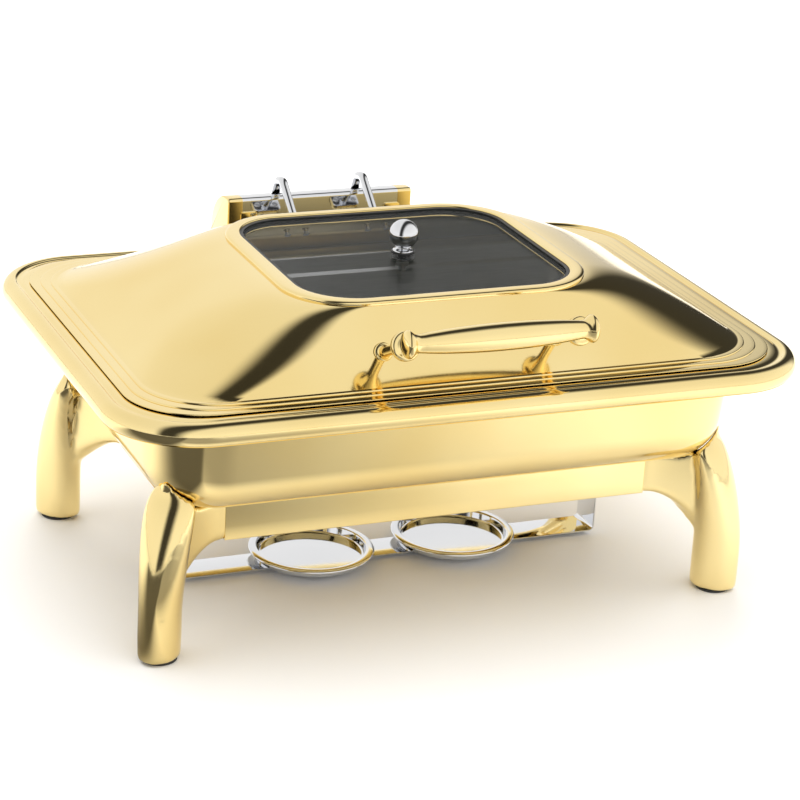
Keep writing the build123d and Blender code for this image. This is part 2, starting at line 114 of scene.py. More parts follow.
# ---------------------------------------------------------------- node graphs
class Wire:
    """A socket that can be used in sums; each operation adds a Math node."""

    def __init__(self, graph, socket):
        self.graph, self.socket = graph, socket

    def _math(self, operation, a, b):
        return self.graph.add("ShaderNodeMath", {"operation": operation}, {0: a, 1: b})

    def __add__(self, other): return self._math('ADD', self, other)
    def __radd__(self, other): return self._math('ADD', other, self)
    def __sub__(self, other): return self._math('SUBTRACT', self, other)
    def __rsub__(self, other): return self._math('SUBTRACT', other, self)
    def __mul__(self, other): return self._math('MULTIPLY', self, other)
    def __rmul__(self, other): return self._math('MULTIPLY', other, self)


class Graph:
    """Adds nodes to a shader or geometry tree."""

    def __init__(self, tree):
        self.tree = tree

    def add(self, kind, settings=None, inputs=None, out=0):
        """A node of that kind, its settings made first, then its sockets' values or links."""
        node = self.tree.nodes.new(kind)
        for key, value in (settings or {}).items():
            if key == "stops":
                ramp = node.color_ramp
                while len(ramp.elements) < len(value):
                    ramp.elements.new(0.5)
                for element, (at, colour) in zip(ramp.elements, value):
                    element.position, element.color = at, colour
            else:
                setattr(node, key, value)
        for key, value in (inputs or {}).items():
            if isinstance(value, Wire):
                self.tree.links.new(value.socket, node.inputs[key])
            else:
                node.inputs[key].default_value = value
        return Wire(self, node.outputs[out]) if out is not None else node


def scaled(graph, vector, x, y, z):
    return graph.add("ShaderNodeVectorMath", {"operation": 'MULTIPLY'}, {0: vector, 1: (x, y, z)})


def noise(graph, vector, scale, detail=3.0):
    return graph.add("ShaderNodeTexNoise", {}, {"Vector": vector, "Scale": scale, "Detail": detail})


def ramp(graph, value, low, high):
    """0 below low, 1 above high."""
    return graph.add("ShaderNodeMapRange", {"clamp": True},
                     {"Value": value, "From Min": low, "From Max": high})


def soft_step(graph, value, start, end):
    """0 at start, 1 at end, eased between; end may lie below start."""
    return graph.add("ShaderNodeMapRange", {"interpolation_type": 'SMOOTHSTEP', "clamp": True},
                     {"Value": value, "From Min": start, "From Max": end})


def mix_colour(graph, factor, a, b):
    def four(c):
        return c if isinstance(c, Wire) else (*c[:3], 1)
    return graph.add("ShaderNodeMix", {"data_type": 'RGBA'}, {0: factor, 6: four(a), 7: four(b)}, out=2)


def material(name, build, **constants):
    """A Principled material; build(graph) returns the sockets that vary over the surface."""
    mat = bpy.data.materials.new(name)
    mat.use_nodes = True
    shader = mat.node_tree.nodes["Principled BSDF"]
    for key, value in constants.items():
        shader.inputs[key.replace("_", " ")].default_value = value
    graph = Graph(mat.node_tree)
    for key, wire in build(graph).items():
        mat.node_tree.links.new(wire.socket, shader.inputs[key])
    return mat


def object_coords(graph):
    return graph.add("ShaderNodeTexCoord", out="Object")


def polished(light, dark, roughness, waviness, scratch=1.0):
    """Mirror-polished metal: faint tone drift, fine hairlines and the slight wave of pressed sheet."""
    def build(graph):
        at = object_coords(graph)
        drift = noise(graph, at, 6, 2)
        hair = noise(graph, scaled(graph, at, 40, 900, 500), 1, 2)
        cross = noise(graph, scaled(graph, at, 700, 60, 400), 1, 2)
        smudge = ramp(graph, noise(graph, at, 14, 4), 0.52, 0.75)
        wave = noise(graph, at, 9, 1)
        height = wave * waviness + (hair + cross) * (0.012 * scratch)
        bump = graph.add("ShaderNodeBump", {}, {"Strength": 0.35, "Distance": 0.0006, "Height": height})
        return {"Base Color": mix_colour(graph, ramp(graph, drift, 0.3, 0.7), dark, light),
                "Roughness": roughness + smudge * 0.02 + (hair * cross) * (0.05 * scratch),
                "Normal": bump}
    return build


def brushed(light, dark, roughness, stretch):
    """Satin steel with a grain along one way."""
    def build(graph):
        at = object_coords(graph)
        grain = noise(graph, scaled(graph, at, *stretch), 1, 4)
        spots = noise(graph, at, 60, 3)
        bump = graph.add("ShaderNodeBump", {}, {"Strength": 0.25, "Distance": 0.0003, "Height": grain})
        return {"Base Color": mix_colour(graph, ramp(graph, grain + spots * 0.4, 0.4, 0.95), dark, light),
                "Roughness": roughness + grain * 0.14, "Normal": bump}
    return build


def rubbery(light, dark, roughness, grain_scale):
    def build(graph):
        at = object_coords(graph)
        grain = noise(graph, at, grain_scale, 3)
        dust = ramp(graph, noise(graph, at, 45, 4), 0.5, 0.8)
        bump = graph.add("ShaderNodeBump", {}, {"Strength": 0.4, "Distance": 0.0002, "Height": grain})
        return {"Base Color": mix_colour(graph, dust * 0.5, dark, light),
                "Roughness": roughness + dust * 0.1, "Normal": bump}
    return build


def clear_glass(graph):
    """Clear pane with a few faint smears."""
    at = object_coords(graph)
    smear = ramp(graph, noise(graph, scaled(graph, at, 30, 9, 9), 1, 4), 0.55, 0.8)
    bump = graph.add("ShaderNodeBump", {}, {"Strength": 0.1, "Distance": 0.0005,
                                            "Height": noise(graph, at, 5, 1)})
    return {"Alpha": 0.16 + smear * 0.02, "Roughness": 0.01 + smear * 0.02, "Normal": bump}


FINISH = {}


def make_finishes(looks):
    gold, pale, steel = tuple(looks.gold), tuple(looks.gold_pale), tuple(looks.steel)
    dim = tuple(c * 0.8 for c in steel)
    FINISH["gold"] = material("polished_gold", polished(pale, gold, looks.polish, 0.30), Metallic=1.0)
    FINISH["leg_gold"] = material("cast_gold", polished(pale, gold, looks.polish, 0.5, 1.6), Metallic=1.0)
    FINISH["chrome"] = material("polished_steel", polished((0.8, 0.81, 0.83), (0.72, 0.73, 0.76), 0.05, 0.2),
                                Metallic=1.0)
    FINISH["steel"] = material("satin_steel", brushed(steel, dim, 0.24, (30, 900, 900)), Metallic=1.0)
    bronze = brushed((0.55, 0.36, 0.16), (0.4, 0.25, 0.1), 0.3, (900, 60, 60))
    FINISH["bush_bronze"] = material("bearing_bronze", bronze, Metallic=1.0)
    FINISH["silicone"] = material("dark_silicone", rubbery((0.1,) * 3, (0.03,) * 3, 0.5, 900))
    FINISH["black_rubber"] = material("foot_rubber", rubbery((0.07,) * 3, (0.02,) * 3, 0.65, 700))
    FINISH["window_glass"] = material("window_glass", clear_glass, Base_Color=(0.03, 0.035, 0.03, 1), IOR=1.5)


# ---------------------------------------------------------------- mesh tools
def linked(name, data):
    """A new object in the scene."""
    obj = bpy.data.objects.new(name, data)
    bpy.context.scene.collection.objects.link(obj)
    return obj


def piece(name, mesh, body, slot, replaces=(), sharp=35):
    """Finishes a mesh given in millimetres as one piece that rides on a body."""
    mesh.transform(Matrix.Scale(MM, 4))
    obj = linked(name, mesh)
    mesh.polygons.foreach_set("use_smooth", [True] * len(mesh.polygons))
    if sharp:
        mesh.set_sharp_from_angle(angle=radians(sharp))
    mesh.materials.clear()
    mesh.materials.append(FINISH[slot])
    if replaces:
        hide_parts(*replaces)
    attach(obj, body)
    return obj


def merged(mesh, distance):
    """Merges doubles and turns the faces outwards."""
    bm = bmesh.new()
    bm.from_mesh(mesh)
    bmesh.ops.remove_doubles(bm, verts=bm.verts, dist=distance)
    bmesh.ops.recalc_face_normals(bm, faces=bm.faces)
    bm.to_mesh(mesh)
    bm.free()
    return mesh


def mesh_of(name, verts, faces):
    mesh = bpy.data.meshes.new(name)
    mesh.from_pydata([tuple(v) for v in verts], [], faces)
    return merged(mesh, 1e-4)


def joined(name, meshes):
    """One mesh from several."""
    bm = bmesh.new()
    for mesh in meshes:
        bm.from_mesh(mesh)
        bpy.data.meshes.remove(mesh)
    out = bpy.data.meshes.new(name)
    bm.to_mesh(out)
    bm.free()
    return out


def moved(mesh, matrix):
    """Moves a mesh; a mirror keeps its faces outwards."""
    mesh.transform(matrix)
    if matrix.determinant() < 0:
        mesh.flip_normals()
    return mesh


def rounded(points, step=9):
    """A line of (x, y, corner radius) with each corner turned into an arc."""
    out = []
    last = len(points) - 1
    for i, (x, y, r) in enumerate(points):
        here = Vector((x, y))
        if i in (0, last) or r <= 0:
            out.append((x, y))
            continue
        a = Vector(points[i - 1][:2]) - here
        b = Vector(points[i + 1][:2]) - here
        angle = a.angle(b)
        reach = min(r / max(1e-6, (sin(angle / 2) / cos(angle / 2))), a.length * 0.49, b.length * 0.49)
        radius = reach * sin(angle / 2) / cos(angle / 2)
        centre = here + (a.normalized() + b.normalized()).normalized() * (radius / sin(angle / 2))
        start, end = here + a.normalized() * reach - centre, here + b.normalized() * reach - centre
        turn = start.angle_signed(end)
        count = max(2, int(abs(turn) / radians(step)) + 1)
        for k in range(count + 1):
            t = -turn * k / count
            out.append((centre.x + start.x * cos(t) - start.y * sin(t),
                        centre.y + start.x * sin(t) + start.y * cos(t)))
    return out


def arc(cx, cy, r, start, end, count):
    """Points on an arc, angles in degrees."""
    return [(cx + r * cos(radians(start + (end - start) * k / count)),
             cy + r * sin(radians(start + (end - start) * k / count))) for k in range(count + 1)]


def outline(half_x, half_y, r, z, y=0.0, corner=18, side=10):
    """Points round a rounded rectangle; every outline has the same count."""
    r = min(r, half_x - 1, half_y - 1)
    points = []
    corners = ((1, 1, 0), (-1, 1, 90), (-1, -1, 180), (1, -1, 270))
    for i, (sx, sy, start) in enumerate(corners):
        cx, cy = sx * (half_x - r), sy * (half_y - r)
        for k in range(corner + 1):
            a = radians(start + 90 * k / corner)
            points.append(Vector((cx + r * cos(a), cy + r * sin(a) + y, z)))
        nx, ny, nstart = corners[(i + 1) % 4]
        a = radians(nstart)
        end = Vector((nx * (half_x - r) + r * cos(a), ny * (half_y - r) + r * sin(a) + y, z))
        begin = points[-1].copy()
        for k in range(1, side):
            points.append(begin.lerp(end, k / side))
    return points


def skin(name, rows, closed=False):
    """Joins rows of points into one surface. closed joins the last row to the first, or else both ends are capped."""
    n = len(rows[0])
    verts = [p for row in rows for p in row]
    faces = []
    pairs = len(rows) if closed else len(rows) - 1
    for i in range(pairs):
        a, b = i * n, ((i + 1) % len(rows)) * n
        for k in range(n):
            m = (k + 1) % n
            faces.append((a + k, a + m, b + m, b + k))
    if not closed:
        faces.append(tuple(range(n))[::-1])
        faces.append(tuple(range((len(rows) - 1) * n, len(rows) * n)))
    return mesh_of(name, verts, faces)


def lathe(name, profile, segments=64):
    """Turns (radius, height) points about Z. Points on the axis close the shape."""
    verts, rings, faces = [], [], []
    for r, h in profile:
        if r < 1e-5:
            rings.append([len(verts)])
            verts.append((0, 0, h))
        else:
            rings.append(list(range(len(verts), len(verts) + segments)))
            verts += [(r * cos(2 * pi * k / segments), r * sin(2 * pi * k / segments), h)
                      for k in range(segments)]
    for a, b in zip(rings, rings[1:]):
        for k in range(segments):
            m = (k + 1) % segments
            quad = [a[k % len(a)], a[m % len(a)], b[m % len(b)], b[k % len(b)]]
            quad = list(dict.fromkeys(quad))
            if len(quad) > 2:
                faces.append(tuple(quad))
    if profile[0] != profile[-1] and rings[0] != rings[-1] and len(rings[0]) > 1 and len(rings[-1]) > 1:
        for k in range(segments):
            m = (k + 1) % segments
            faces.append((rings[-1][k], rings[-1][m], rings[0][m], rings[0][k]))
    return mesh_of(name, verts, faces)


def aim(origin, z_dir, x_dir=(1, 0, 0)):
    """Matrix that carries local Z to z_dir at origin."""
    z = Vector(z_dir).normalized()
    x = (Vector(x_dir) - z * Vector(x_dir).dot(z)).normalized()
    y = z.cross(x)
    rot = Matrix((x, y, z)).transposed().to_4x4()
    return Matrix.Translation(Vector(origin)) @ rot


def finished_modifiers(obj):
    """Applies an object's modifiers and drops them."""
    graph = bpy.context.evaluated_depsgraph_get()
    mesh = bpy.data.meshes.new_from_object(obj.evaluated_get(graph))
    old = obj.data
    obj.modifiers.clear()
    obj.data = mesh
    bpy.data.meshes.remove(old)
    return mesh


def modified(mesh, *steps):
    """A mesh after a list of (modifier type, settings)."""
    obj = linked("work", mesh)
    for kind, settings in steps:
        modifier = obj.modifiers.new(kind.lower(), kind)
        for key, value in settings.items():
            setattr(modifier, key, value)
    out = finished_modifiers(obj)
    bpy.data.objects.remove(obj)
    return out


# ---------------------------------------------------------------- repeated hardware, in Geometry Nodes
def open_tree(label, sockets):
    """A tree with named inputs: its graph, the inputs as wires, and their identifiers."""
    tree = bpy.data.node_groups.new(label, 'GeometryNodeTree')
    face = tree.interface
    face.new_socket("Geometry", in_out='INPUT', socket_type='NodeSocketGeometry')
    keys = {}
    for name, kind in sockets:
        keys[name] = face.new_socket(name, in_out='INPUT', socket_type='NodeSocket' + kind).identifier
    face.new_socket("Geometry", in_out='OUTPUT', socket_type='NodeSocketGeometry')
    graph = Graph(tree)
    start = tree.nodes.new("NodeGroupInput")
    given = {socket.name: Wire(graph, socket) for socket in start.outputs if socket.name}
    return graph, given, keys


def close_tree(graph, geometry, finish):
    """Ends a tree with real geometry in its finish."""
    real = graph.add("GeometryNodeRealizeInstances", {}, {"Geometry": geometry})
    done = graph.add("GeometryNodeSetMaterial", {}, {"Geometry": real, "Material": finish})
    end = graph.tree.nodes.new("NodeGroupOutput")
    graph.tree.links.new(done.socket, end.inputs[0])


def run_tree(obj, graph, values):
    """Puts a tree on an object, with its inputs set by identifier."""
    modifier = obj.modifiers.new("build", 'NODES')
    modifier.node_group = graph.tree
    for key, value in values.items():
        modifier[key] = value


def scattered(name, template, places, body, slot, replaces, sharp=35):
    """Sets a template mesh at every (point, axis), as one mesh."""
    holder = bpy.data.meshes.new(name + "_points")
    holder.from_pydata([tuple(Vector(p)) for p, _ in places], [], [])
    attribute = holder.attributes.new("axis", 'FLOAT_VECTOR', 'POINT')
    for datum, (_, axis) in zip(attribute.data, places):
        datum.vector = Vector(axis).normalized()
    source = linked(name + "_template", template)
    target = linked(name + "_work", holder)

    graph, given, keys = open_tree("Set " + name.replace("_", " "),
                                   [("Fitting", "Object"), ("Size", "Float"), ("Finish", "Material")])
    axis = graph.add("GeometryNodeInputNamedAttribute", {"data_type": 'FLOAT_VECTOR'}, {"Name": "axis"})
    turn = graph.add("FunctionNodeAlignRotationToVector", {"axis": 'Z'}, {"Vector": axis})
    fitting = graph.add("GeometryNodeObjectInfo", {"transform_space": 'ORIGINAL'},
                        {"Object": given["Fitting"]}, out="Geometry")
    grown = graph.add("ShaderNodeCombineXYZ", {}, {i: given["Size"] for i in range(3)})
    copies = graph.add("GeometryNodeInstanceOnPoints", {},
                       {"Points": given["Geometry"], "Instance": fitting, "Rotation": turn, "Scale": grown})
    close_tree(graph, copies, given["Finish"])
    run_tree(target, graph, {keys["Fitting"]: source, keys["Size"]: 1.0, keys["Finish"]: FINISH[slot]})

    mesh = finished_modifiers(target)
    for obj in (source, target):
        bpy.data.objects.remove(obj)
    if "axis" in mesh.attributes:
        mesh.attributes.remove(mesh.attributes["axis"])
    return piece(name, mesh, body, slot, replaces, sharp)


def swept(name, points, radius, body, slot, replaces, ring=16):
    """A round wire along a run of points."""
    curve = bpy.data.curves.new(name + "_path", 'CURVE')
    curve.dimensions = '3D'
    spline = curve.splines.new('POLY')
    spline.points.add(len(points) - 1)
    for point, at in zip(spline.points, points):
        point.co = (*at, 1)
    target = linked(name + "_work", curve)

    graph, given, keys = open_tree("Draw " + name.replace("_", " "), [("Radius", "Float"), ("Finish", "Material")])
    circle = graph.add("GeometryNodeCurvePrimitiveCircle", {}, {"Resolution": ring, "Radius": given["Radius"]})
    tube = graph.add("GeometryNodeCurveToMesh", {},
                     {"Curve": given["Geometry"], "Profile Curve": circle, "Fill Caps": True})
    close_tree(graph, tube, given["Finish"])
    run_tree(target, graph, {keys["Radius"]: radius, keys["Finish"]: FINISH[slot]})

    view = bpy.context.evaluated_depsgraph_get()
    mesh = bpy.data.meshes.new_from_object(target.evaluated_get(view))
    target.modifiers.clear()
    bpy.data.objects.remove(target)
    return piece(name, merged(mesh, 1e-4), body, slot, replaces, sharp=50)


# ---------------------------------------------------------------- pans
def rim_rows(section, sizes):
    """Rows that carry (distance outside the rim's crease, height) points round the water pan."""
    rows = []
    for d, z in section:
        if d > 0:
            corner = RIM_CORNER + d
        elif d > -28:
            corner = RIM_CORNER - 2.5 * d / 28
        else:
            corner = RIM_CORNER + 2.5 + (d + 28)
        rows.append(outline(RIM_X + d, RIM_Y + d * 1.027, max(corner, 4), z, 0,
                            sizes.corner_steps, sizes.side_steps))
    return rows


def pan_section():
    """Half section of the water pan's sheet: floor and wall outside, rolled rim, then wall and floor inside."""
    wall = rounded([(-120, FLOOR_Z, 0), (-38.0, FLOOR_Z, 40), (-28.05, 223.8, 2.6), (-4, 223.8, 0)], 6)
    under = [(-2.8, 223.2), (-1.3, 223.0), (-0.3, 223.4), (0.6, 224.2), (2.5, 224.8)]
    roll_in = arc(2.5, 216, 8.8, 84, -50, 16)
    hem = [(8.7, 208.5), (9.2, 208.1)]
    roll_out = arc(2.5, 216, 10, -50, 90, 22)
    crease = [(1.5, 225.93), (0.8, 225.6), (0.2, 225.05), (-0.4, 224.5), (-1.3, 224.2),
              (-2.4, 224.25), (-3.4, 224.55), (-4.6, 225.0)]
    floor = FLOOR_Z + SHEET
    inside = rounded([(-8, LAND_Z, 0), (-29.2, LAND_Z, 3.2), (-39.3, floor, 38.8), (-120, floor, 0)], 6)
    return wall + under + roll_in + hem + roll_out + crease + inside


def size_rows(section, top, sizes):
    """Rows for a pan whose wall is (inset from its top outline, height)."""
    half_x, half_y, r = top
    return [outline(half_x - d, half_y - d, max(r - d, 4), z, 0, sizes.corner_steps, sizes.side_steps)
            for d, z in section]


def build_pans(sizes):
    pan = skin("water_pan_shell", rim_rows(pan_section(), sizes))
    piece("water_pan_shell", pan, "pan", "gold", ["water_pan"], sharp=40)

    # food pan: flat rolled flange, tapered wall with a stacking bead, filleted floor
    outside = rounded([(110, 160, 0), (28, 160, 18), (25.2, 206, 2), (23.5, 209, 2),
                       (23.4, LAND_Z, 2.4), (1, LAND_Z, 0)], 8)
    flange = [(0.5, 225.05), (0.1, 225.2), (0.0, 225.4), (0.1, 225.65), (0.5, 225.8)]
    inside = rounded([(6, 225.8, 0), (24.2, 225.8, 3.2), (24.3, 209.2, 2), (26.0, 206.2, 2),
                      (28.8, 160.8, 17.2), (110, 160.8, 0)], 8)
    tray = skin("food_pan_tray", size_rows(outside + flange + inside, (275, 188, 58), sizes))
    piece("food_pan_tray", tray, "pan", "steel", ["food_pan"], sharp=40)


# ---------------------------------------------------------------- lid
def dome_row(h, grow, sizes):
    """Outline of the dome at a height from 0 at its base to 1 at the window."""
    left = 1 - h
    half_x = 135.5 + 129.4 * left ** 0.65 + grow
    half_y = 122.5 + 56.8 * left + grow
    r = 62 - left + 30 * 4 * h * left
    z = DOME_Z + grow + DOME_RISE * h
    return outline(half_x, half_y, r, z, WINDOW_Y * h, sizes.corner_steps, sizes.side_steps)


def build_lid_dome(sizes):
    """One closed sheet: up the flange steps and the dome, over the window seat, and back down inside."""
    def ring(half_x, half_y, r, z, y=0.0):
        return outline(half_x, half_y, r, z, y, sizes.corner_steps, sizes.side_steps)

    def height(k):
        return 1 - (1 - k / count) ** 1.45

    rows = []
    steps = ((285, 197.5, 62, 227), (277, 189.5, 61.5, 228), (269.3, 182.8, 61, 229))
    foot = 225.8
    for half_x, half_y, r, top in steps:
        low = foot if top == 227 else top - 1
        rows.append(ring(half_x + 0.15, half_y + 0.15, r, low + 0.02))
        for inset, drop in ((0.0, 0.35), (0.0, 0.62), (-0.12, 0.85), (-0.38, 0.97), (-0.8, 1.0)):
            z = low + (top - low) * drop
            rows.append(ring(half_x + inset, half_y + inset, r + inset, z))
        rows.append(ring(half_x - 3.2, half_y - 3.2, r - 2, top + 0.02))
    rows[0] = ring(284.6, 197.1, 61.6, foot)
    rows.append(ring(265.6, 180.0, 61, DOME_Z))
    count = sizes.dome_rows
    rows += [dome_row(height(k), 0, sizes) for k in range(count + 1)]
    seat = ((134.5, 121.7, 61.2, 283.05), (130.6, 119.1, 56.6, 283.05), (130, 118.5, 56, 282.5),
            (130, 118.5, 56, 279), (119.3, 108.8, 45.2, 279), (119, 108.5, 45, 278.6),
            (119, 108.5, 45, 277.8), (131.2, 119.7, 57.2, 277.8), (131.4, 119.9, 57.4, 281.6))
    rows += [ring(*size, WINDOW_Y) for size in seat]
    rows += [dome_row(height(k), -SHEET, sizes) for k in range(count, -1, -2)]
    rows += [ring(263.9, 178.7, 60.6, 227.8), ring(268.1, 181.6, 60, 227.8), ring(268.1, 181.6, 60, 226.8),
             ring(275.8, 188.3, 60.5, 226.8), ring(275.8, 188.3, 60.5, 225.8)]
    piece("lid_dome", skin("lid_dome", rows, closed=True), "lid", "gold", ["lid_shell"], sharp=40)

    # window trim: a low crowned ring with a skirt
    section = [(-14.9, 285.0), (-15.0, 285.5), (-14.8, 285.95), (-14.2, 286.25), (-13.2, 286.35),
               (-9, 286.4), (-4, 286.3), (-1.8, 286.05), (-0.7, 285.6), (-0.15, 285.0), (0, 284.3),
               (0, 283.0), (-4.2, 283.0), (-4.2, 285.0)]
    rows = [ring(136 + d * 0.9, 123 + d * 0.733, 62.5 + d * 0.933, z, WINDOW_Y) for d, z in section]
    piece("window_trim", skin("window_trim", rows, closed=True), "lid", "gold", ["window_frame"], sharp=50)


def build_vent(sizes):
    r, neck_r = sizes.ball_radius, 4.6
    neck = [(0, 285.2), (8.6, 285.2), (9, 285.5), (9, 286.1), (8.7, 286.5), (6.2, 287.0), (5.0, 287.5),
            (neck_r, 287.9)]
    ball = arc(0, BALL_Z, r, -degrees(acos(neck_r / r)), 90, 40)
    ball[-1] = (0, BALL_Z + r)
    knob = moved(lathe("vent_knob", neck + ball, 72), Matrix.Translation((0, WINDOW_Y, 0)))
    piece("vent_knob", knob, "lid", "chrome", ["vent_ball"], sharp=50)


# ---------------------------------------------------------------- handle
def smooth_line(points, per=8):
    """A smooth run through (a, b) points."""
    out = []
    for i in range(len(points) - 1):
        p0 = Vector(points[max(i - 1, 0)])
        p1, p2 = Vector(points[i]), Vector(points[i + 1])
        p3 = Vector(points[min(i + 2, len(points) - 1)])
        for k in range(per):
            t = k / per
            out.append(tuple(0.5 * (2 * p1 + (p2 - p0) * t + (2 * p0 - 5 * p1 + 4 * p2 - p3) * t ** 2
                                    + (3 * p1 - p0 - 3 * p2 + p3) * t ** 3)))
    out.append(tuple(points[-1]))
    return out


def build_handle():
    end = -84.4
    half = [(0, end), (3.5, -84.3), (6.8, -83.6), (9.6, -82.4), (11.2, -80.6), (11.4, -78.8), (10.3, -76.9),
            (8.6, -74.6), (7.6, -72.2), (7.7, -69.0), (8.5, -62), (9.9, -46), (11.1, -22), (11.45, 0)]
    side = smooth_line(half, 6)
    profile = side + [(r, -h) for r, h in side[-2::-1]]
    profile[0], profile[-1] = (0, end), (0, -end)
    grip = moved(lathe("handle_grip", profile, 72), aim((0, GRIP_Y, GRIP_Z), (1, 0, 0), (0, 0, 1)))
    piece("handle_grip", grip, "lid", "gold", ["handle_bar"], sharp=60)

    n = POST_RISE.length - 11.9
    stem = smooth_line([(8.0, -3.2), (8.05, 0.6), (7.4, 1.9), (5.6, 3.0), (4.6, 5.2), (4.25, 12), (4.2, n - 26),
                        (4.8, n - 19), (6.3, n - 12.5), (7.6, n - 9), (8.3, n - 7.6), (9.6, n - 6.9)], 5)
    collar = [(10.9, n - 6.5), (11.6, n - 6.0), (12, n - 5.2), (12, n - 2.4), (11.7, n - 1.4), (11, n - 0.7),
              (9.4, n - 0.2), (7.5, n)]
    profile = [(0, -3.2)] + stem + collar + [(3.8, n + 3), (0, n + 3)]
    for side_sign, word in ((-1, "left"), (1, "right")):
        post = lathe("handle_post_" + word, profile, 56)
        moved(post, aim((side_sign * POST_X, POST_Y, POST_Z), POST_RISE))
        piece("handle_stem_" + word, post, "lid", "gold", ["handle_post_" + word], sharp=50)


# ---------------------------------------------------------------- hinge
def housing_section(steps=9):
    """D-shaped (y, z) section of the hinge housing, from its lower front round over the top."""
    front, top = HOUSING_FRONT, HOUSING_Z + HOUSING_R
    face = [(front, 245), (front, 256)]
    nose = rounded([(front, 256, 0), (front, top, 9.5), (HOUSING_Y, top, 0)], steps)[1:]
    back = arc(HOUSING_Y, HOUSING_Z, HOUSING_R, 84, 0, 22)
    base = [(230, 234.6), (229.4, 234.0), (200.1, 234.0), (199.5, 234.2)]
    return face + nose + back + base


def inset(section, amount):
    """A closed section moved inwards."""
    out = []
    n = len(section)
    area = sum(a[0] * b[1] - b[0] * a[1] for a, b in zip(section, section[1:] + section[:1]))
    turn = 1 if area > 0 else -1
    for i in range(n):
        a, b, c = (Vector(section[(i + k) % n]) for k in (-1, 0, 1))
        e, f = (b - a).normalized(), (c - b).normalized()
        ne, nf = Vector((-e.y, e.x)) * turn, Vector((-f.y, f.x)) * turn
        mid = ne + nf
        mid = mid / max(0.3, mid.length_squared) * 2
        out.append((b.x + mid.x * amount, b.y + mid.y * amount))
    return out


def build_hinge():
    """The slotted cover, with a face for each stretch of its length, then the two end caps."""
    outer = housing_section()
    inner = inset(outer, SHEET)
    n = len(outer)
    xs = [-76, -75.6, -45, -33, 33, 45, 75.6, 76]

    def in_slot(i):
        y, z = outer[i]
        return 188.9 < y < 226.1 and z > 258

    verts, faces = [], []
    for x in xs:
        verts += [(x, *p) for p in outer] + [(x, *p) for p in inner]
    per = 2 * n
    for k in range(len(xs) - 1):
        slot = k in (2, 4)
        for i in range(n):
            j = (i + 1) % n
            open_here = slot and in_slot(i) and in_slot(j)
            o0, o1, o2, o3 = k * per + i, k * per + j, (k + 1) * per + j, (k + 1) * per + i
            i0, i1, i2, i3 = (v + n for v in (o0, o1, o2, o3))
            if not open_here:
                faces += [(o0, o1, o2, o3), (i0, i3, i2, i1)]
            else:
                faces += [(o0, o1, i1, i0), (o3, i3, i2, o2)]
        if slot:
            for i in range(n):
                j = (i + 1) % n
                if in_slot(i) == in_slot(j):
                    continue
                e = j if in_slot(j) else i
                faces.append((k * per + e, (k + 1) * per + e, (k + 1) * per + e + n, k * per + e + n))
    for k in (0, len(xs) - 1):
        for i in range(n):
            j = (i + 1) % n
            faces.append((k * per + i, k * per + j, k * per + j + n, k * per + i + n))
    cover = mesh_of("hinge_cover_shell", verts, faces)
    piece("hinge_cover_shell", cover, "pan", "chrome", ["hinge_cover"], sharp=35)

    rows = []
    for x, d in ((76, 0.02), (76.4, 0), (88.2, 0), (88.9, 0.15), (89.5, 0.55), (89.85, 1.1), (90, 1.7)):
        rows.append([Vector((x, y, z)) for y, z in inset(outer, d)])
    for side, word in ((1, "right"), (-1, "left")):
        block = skin("cap", rows)
        lug = rounded_slab(16, 15, 3.0, 1.6, 0.5)
        moved(lug, aim((70, 183.1, 258), (0, -1, 0)))
        cap = joined("hinge_cap_" + word, [block, lug])
        if side < 0:
            moved(cap, Matrix.Diagonal((-1, 1, 1, 1)))
        piece("hinge_cap_" + word, cap, "pan", "gold", ["hinge_end_cap_" + word], sharp=35)


def rounded_slab(long, wide, r, thick, bevel):
    """A small plate with rounded corners and eased edges, standing on z = 0."""
    rows = []
    for d, z in ((0.15, 0), (0, 0.15), (0, thick - bevel), (bevel * 0.3, thick - bevel * 0.3), (bevel, thick)):
        rows.append(outline(long / 2 - d, wide / 2 - d, max(r - d, 0.3), z, 0, 8, 2))
    return skin("slab", rows)


def arm_path():
    """(y, z) run of a gooseneck arm from the shaft to its pad on the dome."""
    return rounded([(SHAFT_Y, SHAFT_Z, 0), (194, 290, 9), (180, 293, 9), (PAD_Y, 261.6, 0)], 7)


def tube_along(points, radii, ring=20):
    """A round tube through points in the (y, z) plane, with a radius for each point."""
    rows = []
    for i, (y, z) in enumerate(points):
        a = Vector(points[max(i - 1, 0)])
        b = Vector(points[min(i + 1, len(points) - 1)])
        along = (b - a).normalized()
        side = Vector((-along.y, along.x))
        r = radii[i]
        rows.append([Vector((r * cos(2 * pi * k / ring), y + side.x * r * sin(2 * pi * k / ring),
                             z + side.y * r * sin(2 * pi * k / ring))) for k in range(ring)])
    return skin("tube", rows)


def evenly(path, count):
    """The (y, z) path cut into equal steps, and how far each point is from its end."""
    length = [0.0]
    for a, b in zip(path, path[1:]):
        length.append(length[-1] + (Vector(b) - Vector(a)).length)
    total = length[-1]
    points, left = [], []
    for k in range(count + 1):
        at = total * k / count
        i = max(j for j in range(len(length)) if length[j] <= at + 1e-9)
        i = min(i, len(path) - 2)
        t = (at - length[i]) / (length[i + 1] - length[i])
        points.append(tuple(Vector(path[i]).lerp(Vector(path[i + 1]), t)))
        left.append(total - at)
    return points, left


